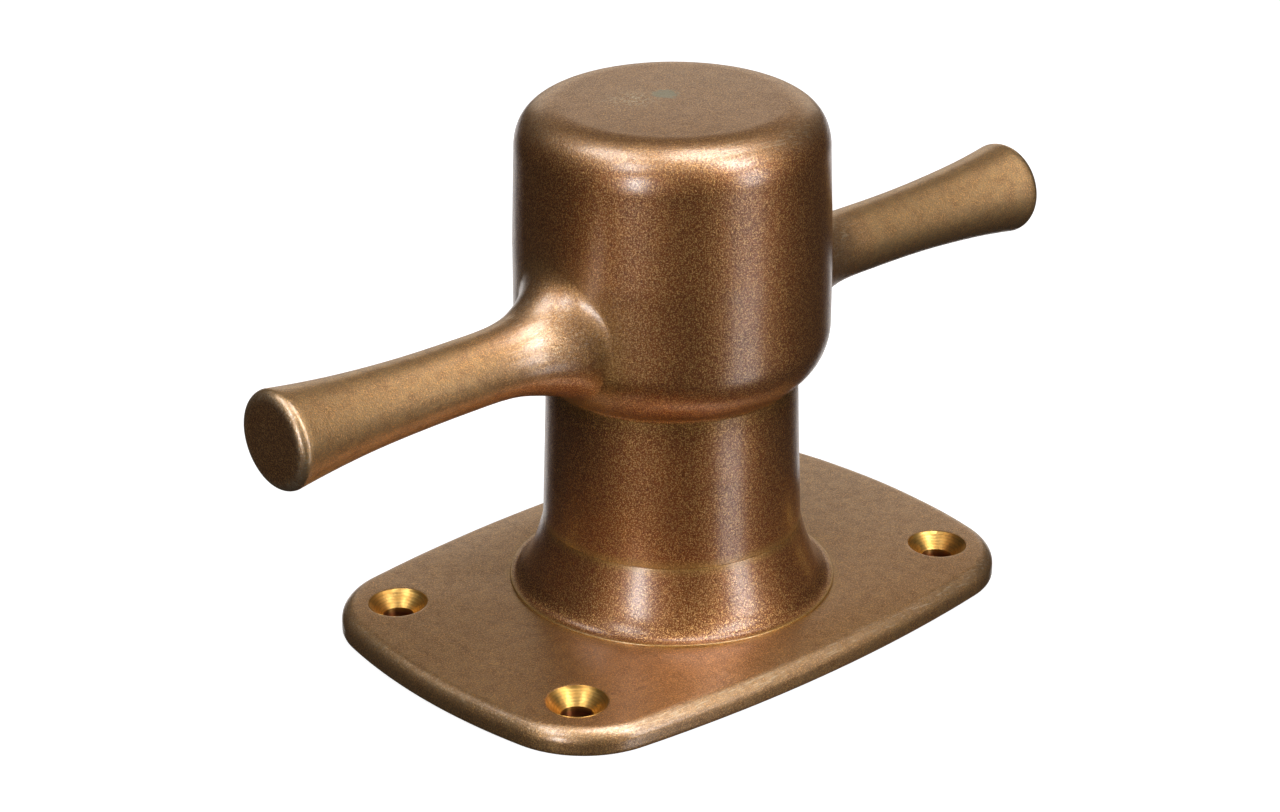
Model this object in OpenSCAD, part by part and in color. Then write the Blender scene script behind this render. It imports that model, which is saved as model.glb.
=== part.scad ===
// Cross bollard (mooring cleat with two horns) for a small boat's deck.
// A countersunk base plate carries a flared foot collar, a round post, a larger head and two horns.
// Origin: centre of the underside. +X runs along the horns and the long side of the plate, +Z is up.

/* [Base plate] */
// Length of the plate, over the bowed ends
base_len = 131; // [120:1:145]
// Width of the plate, over the bowed sides
base_wid = 90.5; // [84:0.5:100]
// Thickness of the plate where the collar stands
base_t = 5.8; // [5.2:0.1:8]
// Fall of the top face from the collar to the rim
crown = 0.6; // [0.2:0.1:1]
// Radius of the rounded corners, seen from above
corner_r = 20; // [14:1:24]
// How far each short end bows out
end_bow = 7.8; // [5:0.1:9]
// How far each long side bows out
side_bow = 6.6; // [4:0.1:8]
// Radius of the rounded upper rim
rim_r = 3.0; // [1:0.1:3.5]

/* [Deck screws] */
// Distance between hole centres along the plate
hole_gap_x = 100; // [94:1:104]
// Distance between hole centres across the plate
hole_gap_y = 55; // [50:1:60]
// Diameter of each drilled hole
hole_d = 6.4; // [5.3:0.1:6.6]
// Diameter of the countersink at the top face
sink_d = 12; // [10:0.1:13]

/* [Foot collar and post] */
// Diameter of the collar where it meets the plate
foot_d = 66.4; // [60:0.2:70]
// Height of the top of the collar above the deck
foot_top = 19.4; // [16:0.1:24]
// Height of the square lip round the foot of the collar
lip_h = 0.6; // [0.3:0.1:1]
// How strongly the collar's side curves in
flare_power = 2.1; // [1.5:0.1:2.5]
// Diameter of the neck where it leaves the collar
neck_low_d = 52.4; // [50:0.2:54]
// Diameter of the neck under the head
neck_high_d = 50.4; // [49:0.2:51]
// Diameter of the spigot that passes down through the collar and the plate
foot_spigot_d = 42; // [38:0.5:44]
// Diameter of the spigot that carries the head
head_spigot_d = 44; // [42:0.5:45]
// Diameter of the hollow through the post
core_d = 30; // [24:1:32]

/* [Head] */
// Height of the underside of the head
head_low = 51; // [49:0.1:52]
// Height of the top of the head
head_top = 107.8; // [100:0.1:116]
// Diameter of the head beside the horns
head_d = 62.9; // [60:0.1:65]
// Diameter of the head just under its top rounding
head_high_d = 61.6; // [59:0.1:62.8]
// Height over which the head's underside rounds in to the neck
shoulder_h = 11.2; // [7:0.1:12]
// Width of the top rounding
round_w = 7.8; // [5:0.1:10]
// Height of the top rounding
round_h = 9.8; // [6:0.1:12]
// Depth of the socket that takes the post
socket_h = 31; // [29:0.5:33]
// Height of the hollow above the socket
dome_h = 13; // [8:1:15]

/* [Horns] */
// Span over both horn tips
span = 196.8; // [190:0.2:204]
// Height of the horn axis above the deck
horn_z = 65.4; // [64:0.1:68]
// Diameter of the horn at its tip
tip_d = 19.4; // [17:0.1:21]
// Rounding of the tip's edge
tip_round = 2.0; // [0.5:0.1:2.5]
// Diameter of the horn at its waist
waist_d = 14; // [12:0.1:16]
// Distance of the waist from the post's axis
waist_x = 53.2; // [48:0.2:58]
// Diameter of the horn where it meets the head
root_d = 24.6; // [22:0.2:26]
// Largest diameter of the root flange, where it wraps the head
root_max_d = 28; // [25:0.5:28]
// Diameter of the spigot on the horn's inner end
peg_d = 14; // [10:0.5:16]

/* [Hidden] */

$fn = 96;
fit = 0.05;                    // radial clearance between a spigot and its hole
end_gap = 0.2;                 // clearance at the blind end of the head's socket
edge_break = 0.4;              // bevel round the plate's lower edge
seat_edge = 1.5;               // width of the flat pad outside the collar
peg_gap = 0.5;                 // distance from a peg's end to the hollow
over = 1;                      // how far a cutting tool runs past the face it cuts
steps = 8;                     // points along each short arc
rim_steps = 5;                 // points up the plate's rounded rim
horn_steps = 10;               // points along each half of a horn
root_power = 3.4;              // how late the horn swells towards its root
tip_power = 2.4;               // how late the horn swells towards its tip
root_depth = 8;                // how far the uncut root reaches inside the head's outline
bronze = "#8a6743";
bronze_worn = "#96724a";

half_l = base_len / 2;
half_w = base_wid / 2;
side_r = (half_l^2 + side_bow^2) / (2 * side_bow);
end_r = (half_w^2 + end_bow^2) / (2 * end_bow);
foot_r = foot_d / 2;
seat_r = foot_r + seat_edge;   // flat pad under the collar
neck_low_r = neck_low_d / 2;
neck_high_r = neck_high_d / 2;
head_r = head_d / 2;
head_high_r = head_high_d / 2;
socket_top = head_low + socket_h;
straight_top = horn_z + root_max_d / 2;   // the head is cylindrical up to here
peg_in = core_d / 2 + peg_gap; // where the horn pegs stop, just short of the hollow
waist_r = waist_d / 2;
root_r = root_d / 2;

// Centre of the corner arc that touches a side arc and an end arc.
// The side arc is centred on the Y axis and the end arc on the X axis.
function corner_centre() =
    let (p = half_w - side_r, q = half_l - end_r, rs = side_r - corner_r, re = end_r - corner_r,
         gap = sqrt(p^2 + q^2), along = (rs^2 - re^2 + gap^2) / (2 * gap),
         across = sqrt(rs^2 - along^2), ux = q / gap, uy = -p / gap)
    [ux * along + uy * across, p + uy * along - ux * across];

// One quarter of the plate's outline, from the +X end round to the +Y side, moved in by d.
function quarter(d) =
    let (c = corner_centre(), q = half_l - end_r, p = half_w - side_r,
         a_end = atan2(c[1], c[0] - q), a_side = atan2(c[1] - p, c[0]))
    concat(
        [for (i = [0 : steps - 1]) let (a = a_end * i / steps)
            [q + (end_r - d) * cos(a), (end_r - d) * sin(a)]],
        [for (i = [0 : steps - 1]) let (a = a_end + (a_side - a_end) * i / steps)
            [c[0] + (corner_r - d) * cos(a), c[1] + (corner_r - d) * sin(a)]],
        [for (i = [0 : steps - 1]) let (a = a_side + (90 - a_side) * i / steps)
            [(side_r - d) * cos(a), p + (side_r - d) * sin(a)]]);

// The whole outline, moved in by d.
function outline(d) =
    let (one = quarter(d), n = len(one))
    concat(
        one,
        [[0, half_w - d]],
        [for (i = [n - 1 : -1 : 0]) [-one[i][0], one[i][1]]],
        [for (i = [1 : n - 1]) [-one[i][0], -one[i][1]]],
        [[0, d - half_w]],
        [for (i = [n - 1 : -1 : 1]) [one[i][0], -one[i][1]]]);

// Closed skin through rings of points, lowest ring first; each ring has the same number of points.
module skin(rings) {
    n = len(rings[0]);
    m = len(rings);
    polyhedron(
        points = [for (ring = rings, p = ring) p],
        faces = concat(
            [[for (i = [0 : n - 1]) i]],
            [for (k = [0 : m - 2], i = [0 : n - 1]) let (j = (i + 1) % n)
                [k * n + i, (k + 1) * n + i, (k + 1) * n + j]],
            [for (k = [0 : m - 2], i = [0 : n - 1]) let (j = (i + 1) % n)
                [k * n + i, (k + 1) * n + j, k * n + j]],
            [[for (i = [n - 1 : -1 : 0]) (m - 1) * n + i]]));
}

function lift(points, z) = [for (p = points) [p[0], p[1], z]];

// Plate with a rounded upper rim, a slightly crowned top and a flat seat for the collar.
module plate_blank() {
    rim_top = base_t - crown;
    skin(concat(
        [lift(outline(edge_break), 0), lift(outline(0), edge_break)],
        [for (i = [0 : rim_steps]) let (a = 90 * i / rim_steps)
            lift(outline(rim_r * (1 - cos(a))), rim_top - rim_r * (1 - sin(a)))],
        [[for (p = outline(rim_r)) let (f = seat_r / norm(p)) [p[0] * f, p[1] * f, base_t]]]));
}

module deck_hole() {
    sink_r = sink_d / 2;
    hole_r = hole_d / 2;
    top = base_t - crown / 2;
    translate([0, 0, -over]) cylinder(h = base_t + 2 * over, r = hole_r);
    translate([0, 0, top - (sink_r - hole_r)])
        cylinder(h = sink_r - hole_r + over, r1 = hole_r, r2 = sink_r + over);
}

module base_plate() {
    color(bronze) difference() {
        plate_blank();
        translate([0, 0, -over]) cylinder(h = base_t + 2 * over, r = foot_spigot_d / 2 + fit);
        for (sx = [-1, 1], sy = [-1, 1])
            translate([sx * hole_gap_x / 2, sy * hole_gap_y / 2, 0]) deck_hole();
    }
}

// Flared ring round the foot of the post.
module foot_collar() {
    flare_low = base_t + lip_h;
    color(bronze) rotate_extrude() polygon(concat(
        [[foot_spigot_d / 2 + fit, base_t], [foot_r, base_t]],
        [for (i = [0 : steps]) let (s = i / steps)
            [foot_r + (neck_low_r - foot_r) * s, flare_low + (foot_top - flare_low) * s^flare_power]],
        [[foot_spigot_d / 2 + fit, foot_top]]));
}

// Hollow post: foot spigot, tapered neck and head spigot, cross-bored for the horn pegs.
module post() {
    spigot_top = socket_top - end_gap;
    color(bronze) difference() {
        rotate_extrude() polygon([
            [core_d / 2, 0], [foot_spigot_d / 2, 0], [foot_spigot_d / 2, foot_top],
            [neck_low_r, foot_top], [neck_high_r, head_low], [head_spigot_d / 2, head_low],
            [head_spigot_d / 2, spigot_top], [core_d / 2, spigot_top]]);
        translate([0, 0, horn_z]) rotate([0, 90, 0])
            cylinder(h = head_d, r = peg_d / 2 + fit, center = true);
    }
}

// Outside of the head, from its underside up to the flat of the top, swollen by grow.
function head_outside(grow) =
    let (w = head_r - neck_high_r,
         shoulder_r = (w^2 + shoulder_h^2) / (2 * w),
         turn = asin(shoulder_h / shoulder_r))
    concat(
        [for (i = [0 : steps]) let (a = turn * (1 - i / steps))
            [head_r + grow - shoulder_r * (1 - cos(a)), head_low + shoulder_h - shoulder_r * sin(a)]],
        [[head_r + grow, straight_top]],
        [for (i = [0 : steps]) let (a = 90 * i / steps)
            [head_high_r + grow - round_w * (1 - cos(a)), head_top - round_h * (1 - sin(a))]]);

module head_blank(grow = 0) {
    rotate_extrude() polygon(concat([[0, head_low]], head_outside(grow), [[0, head_top]]));
}

// Head: a thick cap with a socket for the post, a hollow above it and two horn holes.
module head() {
    color(bronze_worn) difference() {
        head_blank();
        translate([0, 0, head_low - over]) cylinder(h = socket_h + over, r = head_spigot_d / 2 + fit);
        translate([0, 0, socket_top - over]) cylinder(h = dome_h + over, r = core_d / 2);
        translate([0, 0, horn_z]) rotate([0, 90, 0])
            cylinder(h = head_d + 2 * over, r = peg_d / 2 + fit, center = true);
    }
}

// Half outline of a horn as [distance from the post's axis, radius], tip last.
function horn_side(start) =
    let (tip_x = span / 2, edge_x = tip_x - tip_round, tip_r = tip_d / 2)
    concat(
        [for (i = [0 : horn_steps])
            let (x = start + (waist_x - start) * i / horn_steps,
                 swell = ((waist_x - x) / (waist_x - head_r))^root_power)
            [x, min(root_max_d / 2, waist_r + (root_r - waist_r) * swell)]],
        [for (i = [1 : horn_steps]) let (u = i / horn_steps)
            [waist_x + (edge_x - waist_x) * u, waist_r + (tip_r - waist_r) * u^tip_power]],
        [for (i = [1 : steps / 2]) let (a = 90 * i / (steps / 2))
            [edge_x + tip_round * sin(a), tip_r - tip_round * (1 - cos(a))]]);

// A horn pointing along +X: trumpet ended, waisted, its root hollowed to sit on the head.
module horn() {
    start = head_r - root_depth;
    color(bronze_worn) translate([0, 0, horn_z]) union() {
        difference() {
            rotate([0, 90, 0]) rotate_extrude()
                polygon(concat([[0, start]], [for (p = horn_side(start)) [p[1], p[0]]], [[0, span / 2]]));
            translate([0, 0, -horn_z]) head_blank(fit);
        }
        translate([peg_in, 0, 0]) rotate([0, 90, 0]) cylinder(h = head_r - peg_in + over, r = peg_d / 2);
    }
}

module horn_starboard() horn();

module horn_port() mirror([1, 0, 0]) horn();

base_plate();
foot_collar();
post();
head();
horn_port();
horn_starboard();
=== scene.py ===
import math

import bmesh
import bpy
import numpy as np
from mathutils import Matrix, Vector, geometry, noise


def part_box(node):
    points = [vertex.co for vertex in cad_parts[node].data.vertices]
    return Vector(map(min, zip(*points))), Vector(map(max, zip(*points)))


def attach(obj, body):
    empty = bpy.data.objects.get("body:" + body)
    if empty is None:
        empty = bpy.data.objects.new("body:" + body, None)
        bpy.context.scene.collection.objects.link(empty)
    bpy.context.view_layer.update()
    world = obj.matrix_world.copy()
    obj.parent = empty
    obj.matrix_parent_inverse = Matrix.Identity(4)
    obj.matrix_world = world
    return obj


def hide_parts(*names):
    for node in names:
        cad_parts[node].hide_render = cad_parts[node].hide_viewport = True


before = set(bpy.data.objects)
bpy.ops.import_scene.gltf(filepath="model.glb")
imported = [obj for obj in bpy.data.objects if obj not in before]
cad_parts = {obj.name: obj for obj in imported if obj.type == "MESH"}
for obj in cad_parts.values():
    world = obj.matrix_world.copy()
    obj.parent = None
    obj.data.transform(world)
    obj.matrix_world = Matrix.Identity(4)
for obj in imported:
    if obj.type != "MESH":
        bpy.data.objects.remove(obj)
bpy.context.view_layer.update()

MM = 0.001

# ---------------------------------------------------------------- sizes, in mm
# The first group is read from the CAD nodes' own boxes.


def node_box(node):
    low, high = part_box(node)
    return np.array(low) / MM, np.array(high) / MM


_, PLATE_HIGH = node_box("base_plate")
_, COLLAR_HIGH = node_box("foot_collar")
_, POST_HIGH = node_box("post")
HEAD_LOW, HEAD_HIGH = node_box("head")
HORN_LOW, HORN_HIGH = node_box("horn_starboard")

HALF_L = PLATE_HIGH[0]
HALF_W = PLATE_HIGH[1]
PLATE_T = PLATE_HIGH[2]
FOOT_R = COLLAR_HIGH[0]
FOOT_TOP = COLLAR_HIGH[2]
NECK_LOW_R = POST_HIGH[0]
SPIGOT_TOP = POST_HIGH[2]
HEAD_R = HEAD_HIGH[1]
HEAD_BOTTOM = HEAD_LOW[2]
HEAD_TOP = HEAD_HIGH[2]
TIP_X = HORN_HIGH[0]
PEG_END = HORN_LOW[0]

# Plate: corner arcs, bow of the ends and sides, fall of the crowned top, rim rounding and lower edge.
CORNER_R = 20.0
END_BOW = 7.8
SIDE_BOW = 6.6
CROWN = 0.6
RIM_R = 3.0
EDGE_BREAK = 0.4
# Screw holes: place, drilled radius, countersink radius and the broken edge at the bottom.
HOLE_X = 50.0
HOLE_Y = 27.5
HOLE_R = 3.2
SINK_R = 6.0
HOLE_BREAK = 0.15
# Collar: height and rounding of the lip at its foot, and the flare's curve.
LIP_H = 0.45
LIP_W = 0.2
FLARE_POWER = 2.1
# Post: spigots, hollow and the radial clearance of every joint.
FOOT_SPIGOT_R = 21.0
HEAD_SPIGOT_R = 22.0
CORE_R = 15.0
NECK_HIGH_R = 25.2
FIT = 0.05
# Head: shoulder, top rounding, crown of its top, socket and hollow.
SHOULDER_H = 11.2
SHOULDER_W = HEAD_R - NECK_HIGH_R
SHOULDER_R = (SHOULDER_W**2 + SHOULDER_H**2) / (2 * SHOULDER_W)
SKIRT_GAP = 0.03
SKIRT_H = 0.7
HEAD_HIGH_R = 30.8
ROUND_H = 9.8
ROUND_W = 9.6
ROUND_POWER = 0.85
HEAD_CROWN = 0.15
SOCKET_TOP = SPIGOT_TOP + 0.2
DOME_TOP = SOCKET_TOP + 12.0
DOME_CHAMFER = 3.0
# Horns: axis height, tip, waist, root and peg. The wall of the head is straight up to STRAIGHT_TOP.
HORN_Z = 65.4
TIP_R = 9.7
TIP_ROUND = 2.0
TIP_CROWN = 0.06
TIP_POWER = 2.4
WAIST_R = 7.0
WAIST_X = 53.2
ROOT_R = 12.3
ROOT_POWER = 3.4
PEG_R = 7.0
PEG_CHAMFER = 0.4
STRAIGHT_TOP = HORN_Z + 14.0

# ---------------------------------------------------------------- mesh helpers

# Waviness: wavelength and depth of its two parts, the height over which it fades in from the deck,
# and the three places in the noise that give its three directions.
WAVES = ((38.0, 0.10), (13.0, 0.045))
WAVE_FADE = 2.0
WAVE_ORIGIN = 7.3
WAVE_SHIFTS = (Vector((9.3, -1.5, -7.9)), Vector((0.0, 0.0, 0.0)), Vector((6.3, 0.2, -2.7)))
# Edges sharper than these angles, in degrees, keep a hard line in the shading.
SHARP = 38.0
PLATE_SHARP = 32.0
HORN_SHARP = 45.0


def wobble(points):
    """Slight waviness of a hand-finished casting: one smooth field for all pieces, so joints stay shut."""
    out = points.copy()
    for size, depth in WAVES:
        for i, p in enumerate(points):
            at = Vector(p / size + WAVE_ORIGIN)
            v = [noise.noise(at + shift) for shift in WAVE_SHIFTS]
            lift = min(1.0, max(0.0, p[2] / WAVE_FADE))
            out[i] += depth * lift * np.array(v)
    return out


def inside_box(points):
    """Keeps the waviness from passing the CAD model's box."""
    low = np.array([-TIP_X, -HALF_W, 0.0])
    high = np.array([TIP_X, HALF_W, HEAD_TOP])
    return np.clip(points, low, high)


def turn_outward(mesh):
    work = bmesh.new()
    work.from_mesh(mesh)
    bmesh.ops.recalc_face_normals(work, faces=work.faces)
    work.to_mesh(mesh)
    work.free()


def make_object(name, points, faces, materials, slots=None):
    """A mesh object from points in mm. slots gives each face's material; without it all take the first."""
    mesh = bpy.data.meshes.new(name)
    mesh.from_pydata([tuple(p) for p in np.asarray(points, float) * MM], [], faces)
    for m in materials:
        mesh.materials.append(m)
    mesh.polygons.foreach_set("material_index", slots or [0] * len(faces))
    mesh.validate()
    turn_outward(mesh)
    obj = bpy.data.objects.new(name, mesh)
    bpy.context.scene.collection.objects.link(obj)
    return obj


def finish_piece(obj, node, sharp=SHARP):
    """Adds the wear, the painted shade and highlights, the waviness and the smooth shading,
    and puts the piece in its CAD node's place.
    """
    mesh = obj.data
    points = np.array([v.co for v in mesh.vertices]) / MM
    paint_attributes(mesh, points)
    points = inside_box(wobble(points)) * MM
    mesh.vertices.foreach_set("co", points.ravel())
    mesh.update()
    mesh.shade_smooth()
    mesh.set_sharp_from_angle(angle=math.radians(sharp))
    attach(obj, "root")
    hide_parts(node)


def join_rings(rings, closed):
    """Quads between equal rings of point indices; closed joins the last ring to the first."""
    faces = []
    count = len(rings)
    for k in range(count if closed else count - 1):
        a, b = rings[k], rings[(k + 1) % count]
        n = len(a)
        for i in range(n):
            j = (i + 1) % n
            faces.append((a[i], a[j], b[j], b[i]))
    return faces


def close_ends(faces, first, first_tip, last, last_tip):
    """Fans of triangles that close the first and the last ring to one point each."""
    for i in range(len(first)):
        j = (i + 1) % len(first)
        faces.append((first_tip, first[j], first[i]))
        faces.append((last_tip, last[i], last[j]))


def around(count):
    """Even angles round a full circle, in radians."""
    return np.linspace(0, 2 * math.pi, count, endpoint=False)


def arc(cx, cy, rx, ry, a0, a1, n):
    """Points on an ellipse's arc, angles in degrees, both ends included."""
    t = np.radians(np.linspace(a0, a1, n))
    return np.column_stack([cx + rx * np.cos(t), cy + ry * np.sin(t)])


def resample(profile, step):
    """Adds points so that no stretch of a profile is longer than step."""
    out = [profile[0]]
    for a, b in zip(profile[:-1], profile[1:]):
        n = max(1, int(math.ceil(np.linalg.norm(b - a) / step)))
        for k in range(1, n + 1):
            out.append(a + (b - a) * k / n)
    return np.array(out)


def lathe(profile, segments, closed):
    """Turns a profile of (radius, height) about Z. An open profile starts and ends on the axis."""
    points = []
    rings = []
    turn = around(segments)
    body = profile if closed else profile[1:-1]
    for r, z in body:
        start = len(points)
        points += [(r * math.cos(t), r * math.sin(t), z) for t in turn]
        rings.append(list(range(start, start + segments)))
    faces = join_rings(rings, closed)
    if not closed:
        low, high = len(points), len(points) + 1
        points += [(0, 0, profile[0][1]), (0, 0, profile[-1][1])]
        close_ends(faces, rings[0], low, rings[-1], high)
    return np.array(points), faces


# ---------------------------------------------------------------- the base plate's outline

SIDE_ARC_R = (HALF_L**2 + SIDE_BOW**2) / (2 * SIDE_BOW)
END_ARC_R = (HALF_W**2 + END_BOW**2) / (2 * END_BOW)
SIDE_Y = HALF_W - SIDE_ARC_R
END_X = HALF_L - END_ARC_R


def corner_centre():
    """Centre of the corner arc that touches a side arc and an end arc."""
    rs, re = SIDE_ARC_R - CORNER_R, END_ARC_R - CORNER_R
    gap = math.hypot(SIDE_Y, END_X)
    along = (rs**2 - re**2 + gap**2) / (2 * gap)
    across = math.sqrt(rs**2 - along**2)
    ux, uy = END_X / gap, -SIDE_Y / gap
    return ux * along + uy * across, SIDE_Y + uy * along - ux * across


CORNER_X, CORNER_Y = corner_centre()
A_END = math.atan2(CORNER_Y, CORNER_X - END_X)
A_SIDE = math.atan2(CORNER_Y - SIDE_Y, CORNER_X)
# Points on each of the three arcs of a quarter of the outline.
ARC_POINTS = 22
# The flat ring of the plate's top round the collar, before the crown starts to fall.
FLAT_RING = 1.0


def outline(inset):
    """The plate's outline moved in by inset, anticlockwise from +X, as four mirrored quarters."""
    quarter = []
    arcs = (
        (END_X, 0.0, END_ARC_R, 0.0, A_END),
        (CORNER_X, CORNER_Y, CORNER_R, A_END, A_SIDE),
        (0.0, SIDE_Y, SIDE_ARC_R, A_SIDE, math.pi / 2),
    )
    for cx, cy, r, a0, a1 in arcs:
        for i in range(ARC_POINTS):
            a = a0 + (a1 - a0) * i / ARC_POINTS
            quarter.append((cx + (r - inset) * math.cos(a), cy + (r - inset) * math.sin(a)))
    one = np.array(quarter)
    top = np.array([[0.0, HALF_W - inset]])
    left = one[::-1] * [-1, 1]
    low_left = one[1:] * [-1, -1]
    low_right = one[:0:-1] * [1, -1]
    return np.vstack([one, top, left, low_left, -top, low_right])


def outline_gap(x, y):
    """How far a point is inside the plate's outline."""
    x, y = np.abs(x), np.abs(y)
    side = SIDE_ARC_R - np.hypot(x, y - SIDE_Y)
    end = END_ARC_R - np.hypot(x - END_X, y)
    corner = CORNER_R - np.hypot(x - CORNER_X, y - CORNER_Y)
    a_end = np.arctan2(y, x - END_X)
    a_side = np.arctan2(y - SIDE_Y, x)
    return np.where(a_end < A_END, end, np.where(a_side > A_SIDE, side, corner))


def plate_top(x, y):
    """Height of the crowned top face."""
    rho = np.hypot(x, y)
    gap = np.maximum(outline_gap(x, y) - RIM_R, 0)
    t = np.clip(rho - FOOT_R - FLAT_RING, 0, None)
    t = t / (t + gap + 1e-6)
    return PLATE_T - CROWN * t**2


def fill_between(loops, spacing, keep):
    """Triangles over the region that keep(x, y, margin) accepts, bounded by the loops, with an even grid of
    points inside."""
    points = np.vstack(loops)
    edges = []
    start = 0
    for loop in loops:
        n = len(loop)
        edges += [(start + i, start + (i + 1) % n) for i in range(n)]
        start += n
    row_gap = spacing * 0.866
    loop_margin = spacing * 0.55
    xs = np.arange(-HALF_L, HALF_L, spacing)
    ys = np.arange(-HALF_W, HALF_W, row_gap)
    gx, gy = np.meshgrid(xs, ys)
    gx[1::2] += spacing / 2
    grid = np.column_stack([gx.ravel(), gy.ravel()])
    grid = grid[keep(grid[:, 0], grid[:, 1], loop_margin)]
    verts = [Vector(p) for p in np.vstack([points, grid])]
    out, _, tris, source, _, _ = geometry.delaunay_2d_cdt(verts, edges, [], 0, 1e-9)
    flat = np.array([v[:] for v in out])
    tris = np.array(tris)
    middle = flat[tris].mean(axis=1)
    tris = tris[keep(middle[:, 0], middle[:, 1], 0.0)]
    number = {}
    for i, s in enumerate(source):
        for k in s:
            number[k] = i
    order = [number[k] for k in range(len(points))]
    return flat, tris, order


# ---------------------------------------------------------------- wear, patina and painted light, as values per point
# Each value is a soft band or spot: 1 on its line or centre, fading over its width.

# Bands round the post's axis: value, radius, height, width, strength.
POST_BANDS = (
    ("cavity", FOOT_R, PLATE_T + 0.4, 0.6, 1.0),
    ("cavity", NECK_LOW_R, FOOT_TOP, 0.9, 0.65),
    ("cavity", NECK_HIGH_R, HEAD_BOTTOM, 2.0, 0.25),
    # Wear on the head's rim, partly a painted highlight where it catches the lamps above.
    ("wear_and_highlight", HEAD_HIGH_R - 3.2, HEAD_TOP - 2.3, 2.8, 0.36),
    # Painted shade in the next three: the neck's top under the shoulder, the head's underside, the flare's
    # foot.
    ("painted_shade", NECK_HIGH_R + 1.0, HEAD_BOTTOM - 1.0, 3.6, 0.95),
    ("painted_shade", NECK_HIGH_R + 2.5, HEAD_BOTTOM + 1.5, 2.6, 0.7),
    ("painted_shade", FOOT_R - 2.2, PLATE_T + 1.6, 1.8, 0.65),
)
# Bands round the horns' axis: value, radius, distance from the middle, width, strength.
HORN_BANDS = (
    ("cavity", 14.0, 29.0, 4.0, 0.35),
    ("wear_and_highlight", TIP_R - TIP_ROUND * 0.4, TIP_X - 0.5, 1.1, 0.9),
)
# Where lines rub the horns' roots, and a painted highlight there: distance from the middle, height, width,
# strength.
ROPE_X = 38.0
ROPE_Z = HORN_Z + 7.0
ROPE_WIDTH = 8.0
ROPE_WEAR_AND_HIGHLIGHT = 0.55
# The plate's rim: how far in and how high, width, strength.
RIM_IN = RIM_R * 0.4
RIM_Z = PLATE_T - CROWN - RIM_R * 0.25
RIM_WIDTH = 1.3
RIM_WEAR = 0.5
# Spots on the head's top: value, x, y, width.
HEAD_SPOTS = (
    ("stain", 1.0, 3.0, 3.0),
    ("marks", -6.0, 5.0, 4.0),
)
# How much of the horns and the plate is kept golden by hands and lines, and how much paler
# the head's top is painted as light from above.
HANDLED_FROM, HANDLED_RAMP = 30.0, 22.0
HANDLED_PLATE = 0.75
PAINTED_LIGHT_HEAD_TOP = 0.42
HANDLED_TIP_LOSS = 0.75
# Painted shade under the horns: a strength all along, and more near the head.
UNDER_ALL = 0.3
UNDER_ROOT = 0.65


def band(distance, width):
    return np.exp(-(distance / width) ** 2)


def step_up(value, start, length):
    """0 below start, then a straight rise to 1 over length."""
    return np.clip((value - start) / length, 0, 1)


def step_down(value, end, length):
    """1 until length before end, then a straight fall to 0 at end."""
    return np.clip((end - value) / length, 0, 1)


def paint_attributes(mesh, p):
    """Values per point: cavity, where olive-gold polish stays in the hollows; wear on the proud edges, partly
    a painted highlight on the head's rim and the horns' roots; painted shade in the creases, on the flare's
    foot and under the horns; handled, where hands and lines keep the bronze golden, with a paler tone on the
    head's top painted as light from above; stain and marks, on the head's top."""
    x, y, z = p[:, 0], p[:, 1], p[:, 2]
    reach = np.abs(x)
    from_post = np.hypot(x, y)
    from_horn = np.hypot(y, z - HORN_Z)
    values = {name: np.zeros(len(p)) for name in ("cavity", "wear_and_highlight", "painted_shade", "handled_and_lit", "stain", "marks")}
    for name, radius, height, width, strength in POST_BANDS:
        values[name] += strength * band(np.hypot(from_post - radius, z - height), width)
    for name, radius, place, width, strength in HORN_BANDS:
        values[name] += strength * band(np.hypot(from_horn - radius, reach - place), width)
    # Rubbed by lines, and partly a painted highlight on the roots' upper side.
    values["wear_and_highlight"] += ROPE_WEAR_AND_HIGHLIGHT * band(np.hypot(reach - ROPE_X, z - ROPE_Z), ROPE_WIDTH)
    values["wear_and_highlight"] += RIM_WEAR * band(np.hypot(outline_gap(x, y) - RIM_IN, z - RIM_Z), RIM_WIDTH)
    # Painted shade under the horns, darkest near the head.
    under_horn = step_down(z, HORN_Z - 2.5, 5.0) * step_up(z, HEAD_BOTTOM, 2.0) * step_up(reach, 22.0, 6.0)
    values["painted_shade"] += under_horn * (UNDER_ALL + UNDER_ROOT * step_down(reach, 46.0, 8.0))
    handled_and_lit = step_up(reach, HANDLED_FROM, HANDLED_RAMP) * (np.abs(z - HORN_Z) < 16.0)
    handled_and_lit *= 1.0 - HANDLED_TIP_LOSS * step_up(reach, TIP_X - 0.8, 0.5)
    handled_and_lit = np.where(z < PLATE_T + 0.2, HANDLED_PLATE, handled_and_lit)
    # The head's top is painted paler, as light from above.
    values["handled_and_lit"] += handled_and_lit + PAINTED_LIGHT_HEAD_TOP * step_up(z, HEAD_TOP - 5.0, 4.0)
    for name, spot_x, spot_y, width in HEAD_SPOTS:
        values[name] += (z > HEAD_TOP - 1.5) * band(np.hypot(x - spot_x, y - spot_y), width)
    for name, value in values.items():
        a = mesh.attributes.new(name, "FLOAT", "POINT")
        a.data.foreach_set("value", np.clip(value, 0, 1).astype(np.float32))


# ---------------------------------------------------------------- materials


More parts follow.
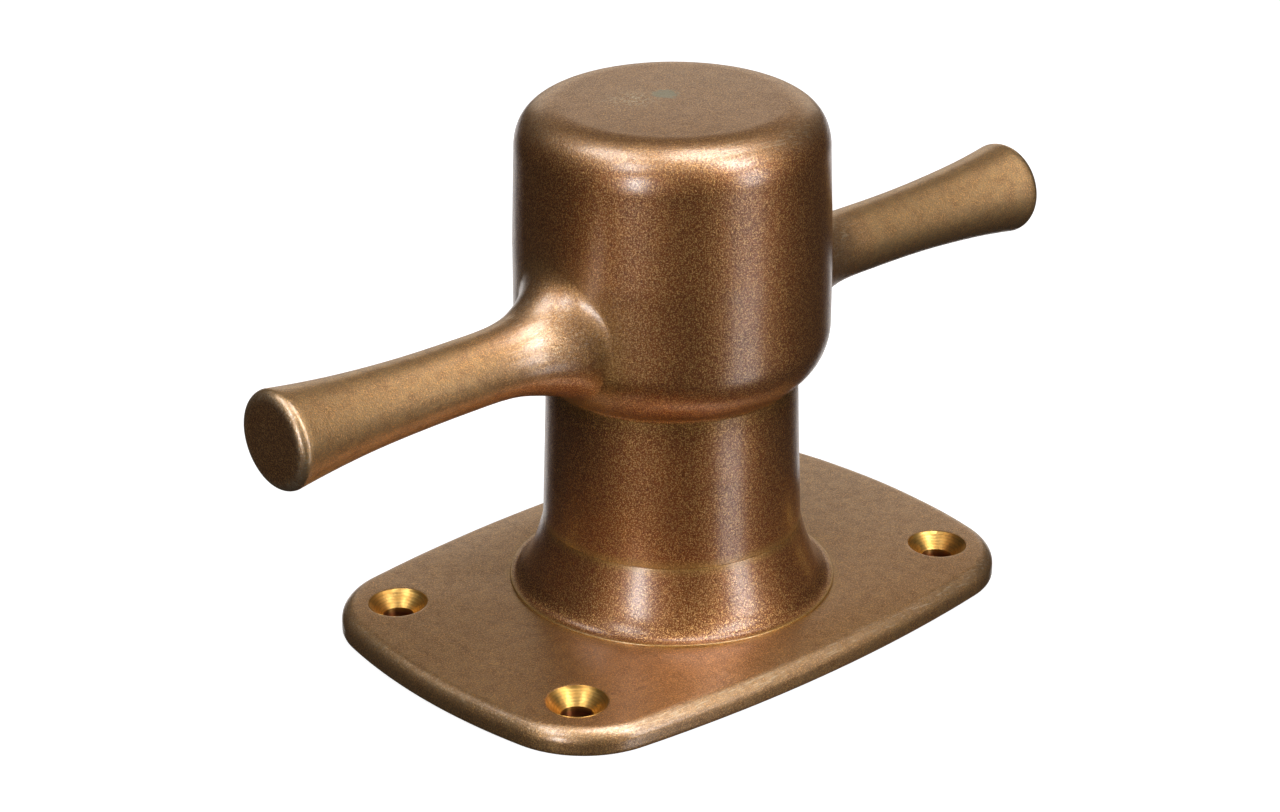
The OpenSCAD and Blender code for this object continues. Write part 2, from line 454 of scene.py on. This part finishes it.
class Nodes:
    """Short names for building a material's node tree."""

    def __init__(self, name):
        self.material = bpy.data.materials.new(name)
        self.material.use_nodes = True
        self.tree = self.material.node_tree
        self.tree.nodes.clear()

    def add(self, kind, **settings):
        node = self.tree.nodes.new(kind)
        for key, value in settings.items():
            setattr(node, key, value)
        return node

    def link(self, source, target):
        if isinstance(source, (int, float, tuple)):
            target.default_value = source
        else:
            self.tree.links.new(source, target)

    def math(self, operation, a, b=0.0, c=0.0, clamp=False):
        node = self.add("ShaderNodeMath", operation=operation, use_clamp=clamp)
        for value, socket in zip((a, b, c), node.inputs):
            self.link(value, socket)
        return node.outputs[0]

    def mix(self, factor, a, b):
        """Mixes two colours, given as (r, g, b) or as sockets."""
        node = self.add("ShaderNodeMix", data_type="RGBA")
        self.link(factor, node.inputs["Factor"])
        color_a, color_b = node.inputs[6], node.inputs[7]
        for value, socket in ((a, color_a), (b, color_b)):
            self.link(value + (1.0,) if isinstance(value, tuple) else value, socket)
        return node.outputs[2]

    def position(self):
        """The place in the object's own frame, in mm."""
        coordinate = self.add("ShaderNodeTexCoord")
        scale = self.add("ShaderNodeVectorMath", operation="SCALE")
        self.link(coordinate.outputs["Object"], scale.inputs[0])
        scale.inputs["Scale"].default_value = 1 / MM
        return scale.outputs[0]

    def stretch(self, vector, factors):
        node = self.add("ShaderNodeVectorMath", operation="MULTIPLY")
        self.link(vector, node.inputs[0])
        node.inputs[1].default_value = factors
        return node.outputs[0]

    def noise(self, vector, scale, detail=2.0, roughness=0.5, distortion=0.0):
        node = self.add("ShaderNodeTexNoise")
        self.link(vector, node.inputs["Vector"])
        node.inputs["Scale"].default_value = scale
        node.inputs["Detail"].default_value = detail
        node.inputs["Roughness"].default_value = roughness
        node.inputs["Distortion"].default_value = distortion
        return node.outputs["Fac"]

    def ramp(self, value, low, high, out_low=0.0, out_high=1.0):
        """Smooth step from out_low, where value is low, to out_high, where it is high."""
        node = self.add("ShaderNodeMapRange", interpolation_type="SMOOTHSTEP")
        for source, socket in zip((value, low, high, out_low, out_high), node.inputs):
            self.link(source, socket)
        return node.outputs[0]

    def attribute(self, name):
        return self.add("ShaderNodeAttribute", attribute_name=name).outputs["Fac"]

    def bump(self, height, distance, strength=1.0, normal=None):
        node = self.add("ShaderNodeBump")
        node.inputs["Strength"].default_value = strength
        node.inputs["Distance"].default_value = distance
        self.link(height, node.inputs["Height"])
        if normal is not None:
            self.link(normal, node.inputs["Normal"])
        return node.outputs["Normal"]

    def surface(self, color, roughness, normal, metallic=1.0, coat=0.0, coat_roughness=0.3):
        shader = self.add("ShaderNodeBsdfPrincipled")
        self.link(color, shader.inputs["Base Color"])
        self.link(metallic, shader.inputs["Metallic"])
        self.link(roughness, shader.inputs["Roughness"])
        self.link(normal, shader.inputs["Normal"])
        self.link(coat, shader.inputs["Coat Weight"])
        self.link(coat_roughness, shader.inputs["Coat Roughness"])
        self.link(OXIDE_IOR, shader.inputs["Coat IOR"])
        return self.finish(shader)

    def finish(self, shader):
        output = self.add("ShaderNodeOutputMaterial")
        self.link(shader.outputs[0], output.inputs["Surface"])
        return self.material


# The oxide film lies over the metal as a thin clear coat.
OXIDE_IOR = 2.15
OXIDE_ROUGHNESS = 0.27
METALLIC = 0.87

BROWN_DARK_AND_SHADE = (0.19, 0.060, 0.014)
BROWN_MID = (0.375, 0.121, 0.026)
BROWN_WARM = (0.42, 0.130, 0.024)
GOLD_SPECK = (0.95, 0.51, 0.16)
OLIVE_GOLD = (0.68, 0.40, 0.10)
BRASSY = (0.60, 0.36, 0.155)
WORN_AND_HIGHLIGHT = (0.74, 0.48, 0.27)
VERDIGRIS = (0.34, 0.37, 0.26)
PALE_NICK = (0.95, 0.76, 0.50)

CUT_GOLD = (0.90, 0.55, 0.16)
CUT_AMBER = (0.78, 0.43, 0.11)
CUT_RING = (0.46, 0.24, 0.06)
CUT_DEEP = (0.42, 0.13, 0.045)

# Noise scales, per mm, of the cast surface.
BROAD = 0.045
MOTTLE = 0.35
GRAIN = 2.6
FINE = 4.6

# Ramps: where a noise starts and stops to count, and what it gives there.
WARM_PATCHES = (0.35, 0.65)
DARK_MOTTLE = (0.35, 0.72, 0.0, 0.40)
DARK_GRAIN = (0.40, 0.50, 1.0, 0.0)
GOLD_GRAIN = (0.56, 0.64, 0.0, 0.70)
GOLD_DUST = (0.58, 0.64, 0.0, 0.95)
HOLLOW_GRAIN = (0.35, 0.6, 0.35, 1.0)
RUBBED_STREAKS = (0.35, 0.62, 0.45, 1.0)
STAIN_EDGE = (0.95, 1.25, 0.0, 0.8)
NICK_SIZE = (0.54, 0.60)
HAIR_SIZE = (0.56, 0.64, 0.0, 0.9)
SCRATCH_SIZE = (0.735, 0.765)
SCRATCH_PATCHES = (0.56, 0.66)
MOTTLE_ROUGHNESS = (0.3, 0.7, 0.34, 0.42)
GRAIN_ROUGHNESS = (0.3, 0.7, 0.04, -0.03)
GRAIN_FILM = (0.40, 0.54, 0.50, 1.0)

# Bump heights, in metres.
LOW_BUMP = 0.00009
GRAIN_BUMP = 0.00010
FINE_BUMP = 0.00005
TURNING_BUMP = 0.000007


def bronze(name):
    """Tumbled, patinated bronze: brown oxide with a fine golden grain, polish in hollows and on edges,
    painted shade in the creases and under the horns, painted highlights on the head's rim and the horns'
    roots, and a head top painted paler as light from above.
    """
    n = Nodes(name)
    p = n.position()
    broad = n.noise(p, BROAD, 3.0)
    mottle = n.noise(p, MOTTLE, 4.0, 0.6)
    grain = n.noise(p, GRAIN, 2.0, 0.75)
    fine = n.noise(p, FINE, 1.0, 0.6)
    cavity = n.attribute("cavity")
    wear_and_highlight = n.attribute("wear_and_highlight")
    handled_and_lit = n.attribute("handled_and_lit")
    painted_shade = n.attribute("painted_shade")

    body = n.mix(n.ramp(broad, *WARM_PATCHES), BROWN_MID, BROWN_WARM)
    # Golden where handled; the paler tone on the head's top is painted light from above.
    body = n.mix(handled_and_lit, body, BRASSY)
    body = n.mix(n.ramp(mottle, *DARK_MOTTLE), body, BROWN_DARK_AND_SHADE)
    # Painted shade: dark brown laid where shade falls in the creases and under the horns.
    body = n.mix(painted_shade, body, BROWN_DARK_AND_SHADE)
    dark_share = n.math("MULTIPLY_ADD", handled_and_lit, -0.62, 0.82)
    body = n.mix(n.math("MULTIPLY", n.ramp(grain, *DARK_GRAIN), dark_share), body, BROWN_DARK_AND_SHADE)
    body = n.mix(n.ramp(grain, *GOLD_GRAIN), body, GOLD_SPECK)
    body = n.mix(n.ramp(fine, *GOLD_DUST), body, GOLD_SPECK)
    streak = n.noise(n.stretch(p, (1.0, 1.0, 0.35)), 1.1, 2.0, 0.6)
    hollow = n.math("MULTIPLY", cavity, n.ramp(grain, *HOLLOW_GRAIN), clamp=True)
    body = n.mix(hollow, body, OLIVE_GOLD)
    # Rubbed wear on the edges; on the head's rim and the horns' roots also a painted highlight.
    rubbed_and_highlight = n.math("MULTIPLY", wear_and_highlight, n.ramp(streak, *RUBBED_STREAKS), clamp=True)
    body = n.mix(rubbed_and_highlight, body, WORN_AND_HIGHLIGHT)

    stain = n.attribute("stain")
    marks = n.attribute("marks")
    ragged = n.math("MULTIPLY", n.noise(p, 1.1, 3.0, 0.7), 1.2)
    body = n.mix(n.ramp(n.math("ADD", stain, ragged), *STAIN_EDGE), body, VERDIGRIS)
    nicks = n.noise(n.stretch(p, (0.9, 1.9, 1.0)), 1.5, 1.0, 0.4, 0.8)
    nicks = n.math("MULTIPLY", n.ramp(nicks, *NICK_SIZE), marks, clamp=True)
    body = n.mix(nicks, body, PALE_NICK)
    hairs = n.noise(n.stretch(p, (0.12, 1.6, 1.6)), 1.9, 2.0, 0.5, 0.3)
    hairs = n.math("MULTIPLY", n.ramp(hairs, *HAIR_SIZE), wear_and_highlight, clamp=True)
    body = n.mix(hairs, body, PALE_NICK)

    scratch = n.noise(n.stretch(p, (0.5, 2.6, 1.4)), 1.7, 1.0, 0.4, 1.2)
    patches = n.ramp(n.noise(p, 0.12, 1.0), *SCRATCH_PATCHES)
    scratch = n.math("MULTIPLY", n.ramp(scratch, *SCRATCH_SIZE), patches)
    body = n.mix(n.math("MULTIPLY", scratch, 0.8), body, GOLD_SPECK)

    rough = n.math("ADD", n.ramp(mottle, *MOTTLE_ROUGHNESS), n.ramp(grain, *GRAIN_ROUGHNESS))
    rough = n.math("SUBTRACT", rough, n.math("MULTIPLY", rubbed_and_highlight, 0.08))
    # The painted shade also thins the clear coat, so less is reflected there.
    unshaded_coat_share = n.math("MULTIPLY_ADD", painted_shade, -0.6, 1.0)
    film = n.math("MULTIPLY", n.ramp(grain, *GRAIN_FILM), unshaded_coat_share)
    low = n.bump(n.noise(p, 0.55, 2.0), LOW_BUMP, 0.5)
    grainy = n.bump(grain, GRAIN_BUMP, 1.0, low)
    normal = n.bump(fine, FINE_BUMP, 1.0, grainy)
    return n.surface(body, rough, normal, METALLIC, film, OXIDE_ROUGHNESS)


def machined(name):
    """Freshly cut bronze inside the countersinks, with turning marks, darker down in the drilled hole."""
    n = Nodes(name)
    p = n.position()
    split = n.add("ShaderNodeSeparateXYZ")
    n.link(p, split.inputs[0])
    height = split.outputs["Z"]
    depth = n.math("ADD", height, n.math("MULTIPLY", n.noise(p, 0.5), 0.3))
    turns = n.math("SINE", n.math("MULTIPLY", depth, 13.0))
    patch = n.noise(p, 0.7, 2.0)
    color = n.mix(n.ramp(patch, 0.35, 0.65), CUT_GOLD, CUT_AMBER)
    color = n.mix(n.ramp(turns, 0.1, 1.0, 0.0, 0.38), color, CUT_RING)
    color = n.mix(n.ramp(height, 2.9, 1.2), color, CUT_DEEP)
    uneven = n.math("MULTIPLY", n.noise(p, 1.2), 0.3)
    normal = n.bump(n.math("ADD", turns, uneven), TURNING_BUMP, 0.7)
    return n.surface(color, n.ramp(patch, 0.3, 0.7, 0.33, 0.43), normal)


PLATE_BRONZE = bronze("plate_bronze")
POST_BRONZE = bronze("post_bronze")
HEAD_BRONZE = bronze("head_bronze")
HORN_BRONZE = bronze("horn_bronze")
CUT_BRONZE = machined("cut_bronze")

# ---------------------------------------------------------------- the base plate

HOLES = [(sx * HOLE_X, sy * HOLE_Y) for sx in (-1, 1) for sy in (-1, 1)]
HOLE_POINTS = 72
BORE_POINTS = 128
BORE_R = FOOT_SPIGOT_R + FIT
PLATE_SPACING = 1.6
# The top face ends this far outside each countersink; the rings that follow round the edge over.
LIP_R = SINK_R + 1.0
SINK_EDGE = ((SINK_R + 0.5, 0.0), (SINK_R + 0.2, 0.01), (SINK_R + 0.08, 0.05))
SINK_DROP = 0.14


def circle(cx, cy, r, n):
    t = around(n)
    return np.column_stack([cx + r * np.cos(t), cy + r * np.sin(t)])


def build_base_plate():
    points = []
    faces = []
    slots = []
    plain, cut = 0, 1

    def add(rows):
        start = len(points)
        points.extend(rows)
        return list(range(start, start + len(rows)))

    def add_faces(new, slot):
        faces.extend(new)
        slots.extend([slot] * len(new))

    def add_level(ring, z):
        return add([(x, y, z) for x, y in ring])

    def face_region(inset, hole_r, height):
        """A filled face of the plate; gives its outer ring, its bore ring and its hole rings."""
        def keep(x, y, margin):
            ok = (outline_gap(x, y) > inset + margin) & (np.hypot(x, y) > BORE_R + margin)
            for hx, hy in HOLES:
                ok &= np.hypot(x - hx, y - hy) > hole_r + margin
            return ok
        holes = [circle(hx, hy, hole_r, HOLE_POINTS) for hx, hy in HOLES]
        loops = [outline(inset), circle(0, 0, BORE_R, BORE_POINTS)] + holes
        flat, tris, order = fill_between(loops, PLATE_SPACING, keep)
        index = add([(x, y, height(x, y)) for x, y in flat])
        add_faces([tuple(index[k] for k in t) for t in tris.tolist()], plain)
        out = []
        at = 0
        for loop in loops:
            out.append([index[k] for k in order[at:at + len(loop)]])
            at += len(loop)
        return out[0], out[1], out[2:]

    top_edge, top_bore, top_holes = face_region(RIM_R, LIP_R, lambda x, y: float(plate_top(x, y)))
    low_edge, low_bore, low_holes = face_region(EDGE_BREAK, HOLE_R + HOLE_BREAK, lambda x, y: 0.0)

    rim_top = PLATE_T - CROWN
    rings = [top_edge]
    for a in np.radians(np.linspace(8, 90, 12)):
        rings.append(add_level(outline(RIM_R * (1 - math.sin(a))), rim_top - RIM_R * (1 - math.cos(a))))
    for z in (1.6, 0.9, EDGE_BREAK):
        rings.append(add_level(outline(0.0), z))
    rings.append(add_level(outline(EDGE_BREAK * 0.3), EDGE_BREAK * 0.3))
    rings.append(low_edge)
    add_faces(join_rings(rings, False), plain)

    for (hx, hy), top_ring, low_ring in zip(HOLES, top_holes, low_holes):
        rings = [top_ring]
        for r, drop in SINK_EDGE:
            ring = circle(hx, hy, r, HOLE_POINTS)
            rings.append(add([(x, y, float(plate_top(x, y)) - drop) for x, y in ring]))
        add_faces(join_rings(rings, False), plain)
        z = float(plate_top(hx, hy)) - SINK_DROP
        slope = SINK_R - HOLE_R
        wall = [(SINK_R - slope * t, z - slope * t) for t in np.linspace(0, 1, 7)]
        wall += [(HOLE_R, z - slope - 0.3), (HOLE_R, 0.8), (HOLE_R, HOLE_BREAK)]
        rings = rings[-1:] + [add_level(circle(hx, hy, r, HOLE_POINTS), h) for r, h in wall]
        add_faces(join_rings(rings + [low_ring], False), cut)
    add_faces(join_rings([top_bore, low_bore], False), plain)

    obj = make_object("base_plate_visual", points, faces, [PLATE_BRONZE, CUT_BRONZE], slots)
    finish_piece(obj, "base_plate", PLATE_SHARP)


# ---------------------------------------------------------------- the turned pieces

SEGMENTS = 192
CUTTER_SEGMENTS = 64
CUTTER_REACH = HEAD_R + 5
# Points closer than this, in metres, become one after a cut.
WELD = 1e-6


def cross_bore(obj, radius):
    """Cuts the holes that the horn pegs go through."""
    profile = [(0, -CUTTER_REACH), (radius, -CUTTER_REACH), (radius, CUTTER_REACH), (0, CUTTER_REACH)]
    points, faces = lathe(np.array(profile), CUTTER_SEGMENTS, False)
    points = np.column_stack([points[:, 2], points[:, 1], points[:, 0] + HORN_Z])
    cutter = make_object("cutter", points, faces, [])
    cut = obj.modifiers.new("cross_bore", "BOOLEAN")
    cut.operation = "DIFFERENCE"
    cut.solver = "EXACT"
    cut.object = cutter
    bpy.context.view_layer.update()
    graph = bpy.context.evaluated_depsgraph_get()
    result = bpy.data.meshes.new_from_object(obj.evaluated_get(graph))
    obj.modifiers.clear()
    work = bmesh.new()
    work.from_mesh(result)
    bmesh.ops.remove_doubles(work, verts=work.verts, dist=WELD)
    work.to_mesh(result)
    work.free()
    old = obj.data
    obj.data = result
    bpy.data.meshes.remove(old)
    bpy.data.objects.remove(cutter)


def build_foot_collar():
    low = PLATE_T + LIP_H
    lip_x = FOOT_R - LIP_W
    s = np.linspace(0.04, 1, 30)
    flare = np.column_stack([
        lip_x + (NECK_LOW_R - lip_x) * s,
        low + (FOOT_TOP - low) * s**FLARE_POWER,
    ])
    profile = np.vstack([
        [(BORE_R, FOOT_TOP), (BORE_R, PLATE_T)],
        [(FOOT_R - 0.05, PLATE_T), (FOOT_R, PLATE_T + 0.1)],
        arc(lip_x, low - LIP_W, LIP_W, LIP_W, 0, 70, 6),
        flare,
    ])
    points, faces = lathe(resample(profile, 1.2), SEGMENTS, True)
    obj = make_object("foot_collar_visual", points, faces, [POST_BRONZE])
    finish_piece(obj, "foot_collar")


def build_post():
    foot_chamfer, head_chamfer, neck_edge = 0.3, 0.5, 0.1
    profile = np.array([
        (CORE_R, 0.4), (CORE_R + 0.4, 0.0),
        (FOOT_SPIGOT_R - foot_chamfer, 0.0), (FOOT_SPIGOT_R, foot_chamfer),
        (FOOT_SPIGOT_R, FOOT_TOP), (NECK_LOW_R - neck_edge, FOOT_TOP), (NECK_LOW_R, FOOT_TOP + 0.12),
        (NECK_HIGH_R, HEAD_BOTTOM), (HEAD_SPIGOT_R, HEAD_BOTTOM),
        (HEAD_SPIGOT_R, SPIGOT_TOP - head_chamfer), (HEAD_SPIGOT_R - head_chamfer, SPIGOT_TOP),
        (CORE_R, SPIGOT_TOP),
    ])
    points, faces = lathe(resample(np.vstack([profile, profile[:1]]), 2.0)[:-1], SEGMENTS, True)
    obj = make_object("post_visual", points, faces, [POST_BRONZE])
    cross_bore(obj, PEG_R + FIT)
    finish_piece(obj, "post")


def shoulder(turn):
    """Point on the head's rounded underside; turn is 0 where it meets the vertical wall."""
    return HEAD_R - SHOULDER_R * (1 - math.cos(turn)), HEAD_BOTTOM + SHOULDER_H - SHOULDER_R * math.sin(turn)


def build_head():
    full = math.asin(SHOULDER_H / SHOULDER_R)
    under = [shoulder(full * t) for t in np.linspace(0.9, 0, 26)]
    skirt = [(NECK_HIGH_R + SKIRT_GAP, HEAD_BOTTOM), (NECK_HIGH_R + SKIRT_GAP, HEAD_BOTTOM - SKIRT_H)]
    a, b = np.array(skirt[-1]), np.array(under[0])
    bend = a + (0.0, 0.75)
    fillet = [(1 - t) ** 2 * a + 2 * t * (1 - t) * bend + t * t * b for t in np.linspace(0.15, 0.85, 6)]
    t = np.radians(np.linspace(0, 90, 44))
    disc_r = HEAD_HIGH_R - ROUND_W
    top = np.column_stack([
        disc_r + ROUND_W * np.cos(t) ** ROUND_POWER,
        HEAD_TOP - HEAD_CROWN - ROUND_H + ROUND_H * np.sin(t) ** ROUND_POWER,
    ])
    crown = [(r, HEAD_TOP - HEAD_CROWN * (r / disc_r) ** 2) for r in np.linspace(19, 0, 20)]
    profile = np.vstack([
        [(0.0, DOME_TOP), (CORE_R - DOME_CHAMFER, DOME_TOP)],
        [(CORE_R, DOME_TOP - DOME_CHAMFER), (CORE_R, SOCKET_TOP)],
        [(HEAD_SPIGOT_R + FIT, SOCKET_TOP), (HEAD_SPIGOT_R + FIT, HEAD_BOTTOM)],
        skirt,
        fillet,
        under,
        [(HEAD_R, STRAIGHT_TOP)],
        top,
        crown,
    ])
    points, faces = lathe(resample(profile, 1.5), SEGMENTS, False)
    obj = make_object("head_visual", points, faces, [HEAD_BRONZE])
    cross_bore(obj, PEG_R + FIT)
    finish_piece(obj, "head")


# ---------------------------------------------------------------- the horns

HORN_SEGMENTS = 144
# The root blend: where it leaves the horn, how far from the axis it meets the head, how much more above than
# below, and how strongly it follows the horn and the head at its two ends.
BLEND_X = 40.0
BLEND_R, BLEND_RISE = 14.1, 1.8
LEAD = 0.33
TRAIL, TRAIL_RISE = 0.22, 0.06
SLOPE_STEP = 0.3


def head_radius(z):
    """Outer radius of the head at height z, below its top rounding."""
    drop = np.clip(HEAD_BOTTOM + SHOULDER_H - z, 0, SHOULDER_H)
    low = HEAD_R - SHOULDER_R + np.sqrt(SHOULDER_R**2 - drop**2)
    rise = np.clip((z - STRAIGHT_TOP) / (HEAD_TOP - ROUND_H - HEAD_CROWN - STRAIGHT_TOP), 0, 1)
    return np.where(z > STRAIGHT_TOP, HEAD_R + (HEAD_HIGH_R - HEAD_R) * rise, low)


def head_face(rho, phi):
    """Distance along X of the head's surface, at rho from the horn's axis in the direction phi."""
    y, z = rho * np.cos(phi), HORN_Z + rho * np.sin(phi)
    return np.sqrt(np.maximum(head_radius(z) ** 2 - y**2, 1.0))


def horn_radius(x):
    """Radius of the horn between its waist and the start of its root blend."""
    return WAIST_R + (ROOT_R - WAIST_R) * np.clip((WAIST_X - x) / (WAIST_X - HEAD_R), 0, None) ** ROOT_POWER


def tip_rows(one):
    """Rings from the tip's disc over its rounded edge to the waist, as (x, radius)."""
    edge_x = TIP_X - TIP_ROUND
    disc = TIP_R - TIP_ROUND
    rows = [(one * (TIP_X - TIP_CROWN * t * t), one * disc * t) for t in (0.25, 0.5, 0.75, 0.9)]
    for a in np.radians(np.linspace(90, 0, 13)):
        x = edge_x + (TIP_ROUND - TIP_CROWN) * math.sin(a)
        rows.append((one * x, one * (disc + TIP_ROUND * math.cos(a))))
    for u in np.linspace(1, 0, 34)[1:]:
        x = WAIST_X + (edge_x - WAIST_X) * u
        rows.append((one * x, one * (WAIST_R + (TIP_R - WAIST_R) * u**TIP_POWER)))
    for x in np.linspace(WAIST_X, BLEND_X, 13)[1:]:
        rows.append((one * x, one * horn_radius(x)))
    return rows


def root_rows(phi, one):
    """Rings of the blend into the head, a curve with four control points at each angle phi."""
    end_rho = BLEND_R + BLEND_RISE * np.sin(phi)
    end_x = head_face(end_rho, phi)
    slope_x = head_face(end_rho + SLOPE_STEP, phi) - head_face(end_rho - SLOPE_STEP, phi)
    slope_x = slope_x / (2 * SLOPE_STEP)
    along = np.hypot(slope_x, 1.0)
    r0 = float(horn_radius(BLEND_X))
    steep = float(horn_radius(BLEND_X - 0.1) - r0) / 0.1
    reach = np.hypot(BLEND_X - end_x, end_rho - r0)
    lead = LEAD * reach / math.hypot(1, steep)
    trail = (TRAIL + TRAIL_RISE * np.sin(phi)) * reach / along
    control = (
        (BLEND_X * one, r0 * one),
        (BLEND_X - lead, r0 + lead * steep),
        (end_x - trail * slope_x + 0.15, end_rho - trail),
        (end_x - 0.04, end_rho),
    )
    rows = []
    for t in np.linspace(0, 1, 19)[1:]:
        weights = ((1 - t) ** 3, 3 * t * (1 - t) ** 2, 3 * t * t * (1 - t), t**3)
        rows.append(tuple(sum(w * c[k] for w, c in zip(weights, control)) for k in (0, 1)))
    for rho in (end_rho - 0.4, end_rho * 0.5 + PEG_R * 0.5, one * PEG_R):
        rows.append((head_face(rho, phi) + FIT, rho))
    return rows


def build_horn(node, side):
    phi = around(HORN_SEGMENTS)
    one = np.ones_like(phi)
    rows = tip_rows(one) + root_rows(phi, one)
    peg_start = float(HEAD_R * 0.86)
    for x in np.linspace(peg_start, PEG_END + PEG_CHAMFER, 8):
        rows.append((one * x, one * PEG_R))
    rows.append((one * PEG_END, one * (PEG_R - PEG_CHAMFER)))

    points = []
    rings = []
    for x, r in rows:
        first = len(points)
        rings.append(list(range(first, first + HORN_SEGMENTS)))
        points += list(zip(side * x, r * np.cos(phi), HORN_Z + r * np.sin(phi)))
    faces = join_rings(rings, False)
    tip, end = len(points), len(points) + 1
    points += [(side * TIP_X, 0, HORN_Z), (side * PEG_END, 0, HORN_Z)]
    close_ends(faces, rings[0], tip, rings[-1], end)
    obj = make_object(node + "_visual", points, faces, [HORN_BRONZE])
    finish_piece(obj, node, HORN_SHARP)


build_base_plate()
build_foot_collar()
build_post()
build_head()
build_horn("horn_port", -1)
build_horn("horn_starboard", 1)

# ---------------------------------------------------------------- floor, light and camera

FLOOR_HALF = 6.0
FLOOR_PALE = (0.60, 0.598, 0.594)
FLOOR_PALER = (0.63, 0.627, 0.622)
FLOOR_GLOW = 0.72

# The camera: azimuth and elevation of the view, roll, the point it looks at and the distance to it.
VIEW_AZ = math.radians(-42.83)
VIEW_EL = math.radians(23.16)
ROLL = math.radians(0.084)
AIM = Vector((0.0, 0.0, 54.0)) * MM
DISTANCE = 640.26 * MM
LENS = 90.1
SENSOR = 36.0
# It is turned a little to the left of the object and below it; the lens shift brings it back to the middle.
OFF_AXIS_RIGHT = 0.04931
OFF_AXIS_UP = 0.01486
SHIFT_X = 0.0985
SHIFT_Y = -0.0024

NEAR_DARK = (0.02, 0.02, 0.02, 1.0)
WHITE = (1.0, 1.0, 1.0)
CARD = (1.0, 0.87, 0.69)


def floor_material():
    """Pale paper that glows a little for the camera."""
    n = Nodes("floor_paper")
    path = n.add("ShaderNodeLightPath")
    grain = n.noise(n.position(), 0.02, 2.0)
    shader = n.add("ShaderNodeBsdfDiffuse")
    n.link(n.mix(n.ramp(grain, 0.3, 0.7), FLOOR_PALE, FLOOR_PALER), shader.inputs["Color"])
    glow = n.add("ShaderNodeEmission")
    n.link(n.math("MULTIPLY", path.outputs["Is Camera Ray"], FLOOR_GLOW), glow.inputs["Strength"])
    both = n.add("ShaderNodeAddShader")
    n.link(shader.outputs[0], both.inputs[0])
    n.link(glow.outputs[0], both.inputs[1])
    return n.finish(both)


def lay_floor():
    """The floor shows behind the object but throws no light or reflection on the metal."""
    half = FLOOR_HALF
    corners = [(-half, -half, 0), (half, -half, 0), (half, half, 0), (-half, half, 0)]
    mesh = bpy.data.meshes.new("floor")
    mesh.from_pydata(corners, [], [(0, 1, 2, 3)])
    mesh.materials.append(floor_material())
    floor = bpy.data.objects.new("floor", mesh)
    bpy.context.scene.collection.objects.link(floor)
    floor.visible_glossy = False
    floor.visible_diffuse = False
    floor.visible_shadow = False


def direction(turn, elevation):
    """Unit vector turn degrees to the right of the camera's side of the object and elevation degrees up."""
    a, e = VIEW_AZ + math.radians(turn), math.radians(elevation)
    return Vector((math.sin(a) * math.cos(e), -math.cos(a) * math.cos(e), math.sin(e)))


def softbox(name, turn, elevation, distance, width, height, power, tint=WHITE):
    """An area light that faces the object. Angles in degrees, lengths in metres, power in watts."""
    light = bpy.data.lights.new(name, "AREA")
    light.shape = "RECTANGLE"
    light.size = width
    light.size_y = height
    light.energy = power
    light.color = tint
    obj = bpy.data.objects.new(name, light)
    toward = direction(turn, elevation)
    obj.location = AIM + toward * distance
    obj.rotation_euler = toward.to_track_quat("Z", "Y").to_euler()
    bpy.context.scene.collection.objects.link(obj)
    obj.visible_camera = False


def hang_lights():
    """Strips left and right, ceiling panels and a warm backdrop card. The mirrored ones stand below the floor
    for the light that a glossy white table throws up."""
    softbox("strip_right", 57, 8, 1.2, 0.31, 0.62, 2.8)
    softbox("strip_right_high", 55, 42, 1.2, 0.34, 0.55, 4.8)
    softbox("strip_right_mirrored", 54, -26, 1.2, 0.40, 0.40, 0.8)
    softbox("strip_left", -26, 8, 1.2, 0.16, 0.55, 3.0)
    softbox("strip_left_high", -37, 44, 1.2, 0.30, 0.45, 2.5)
    softbox("ceiling", 74, 76, 1.2, 0.68, 0.60, 5.8)
    softbox("ceiling_left", -80, 62, 1.2, 0.60, 0.50, 3.4)
    softbox("backdrop", 178, 12, 1.3, 1.0, 0.50, 1.34, CARD)
    softbox("backdrop_mirrored", 181, -20, 1.3, 1.2, 0.60, 2.4)


def set_world():
    """White behind the object for the camera, nearly dark for the metal."""
    world = bpy.data.worlds.new("studio")
    world.use_nodes = True
    tree = world.node_tree
    tree.nodes.clear()
    path = tree.nodes.new("ShaderNodeLightPath")
    dim = tree.nodes.new("ShaderNodeBackground")
    dim.inputs["Color"].default_value = NEAR_DARK
    white = tree.nodes.new("ShaderNodeBackground")
    white.inputs["Color"].default_value = WHITE + (1.0,)
    choose = tree.nodes.new("ShaderNodeMixShader")
    out = tree.nodes.new("ShaderNodeOutputWorld")
    tree.links.new(path.outputs["Is Camera Ray"], choose.inputs[0])
    tree.links.new(dim.outputs[0], choose.inputs[1])
    tree.links.new(white.outputs[0], choose.inputs[2])
    tree.links.new(choose.outputs[0], out.inputs["Surface"])
    bpy.context.scene.world = world


def set_camera():
    data = bpy.data.cameras.new("camera")
    data.lens = LENS
    data.sensor_width = SENSOR
    data.shift_x = SHIFT_X
    data.shift_y = SHIFT_Y
    data.clip_start = 0.05
    data.clip_end = 50.0
    camera = bpy.data.objects.new("camera", data)
    back = direction(0, math.degrees(VIEW_EL))
    across = Vector((math.cos(VIEW_AZ), math.sin(VIEW_AZ), 0.0))
    facing = Matrix((across, back.cross(across), back)).transposed() @ Matrix.Rotation(ROLL, 3, "Z")
    off_axis = Vector((OFF_AXIS_RIGHT, OFF_AXIS_UP, -1.0))
    swing = off_axis.rotation_difference(Vector((0.0, 0.0, -1.0))).to_matrix()
    camera.matrix_world = Matrix.Translation(AIM + back * DISTANCE) @ (facing @ swing).to_4x4()
    bpy.context.scene.collection.objects.link(camera)
    bpy.context.scene.camera = camera


lay_floor()
hang_lights()
set_world()
set_camera()
bpy.context.scene.view_settings.view_transform = "Standard"

bpy.context.view_layer.update()
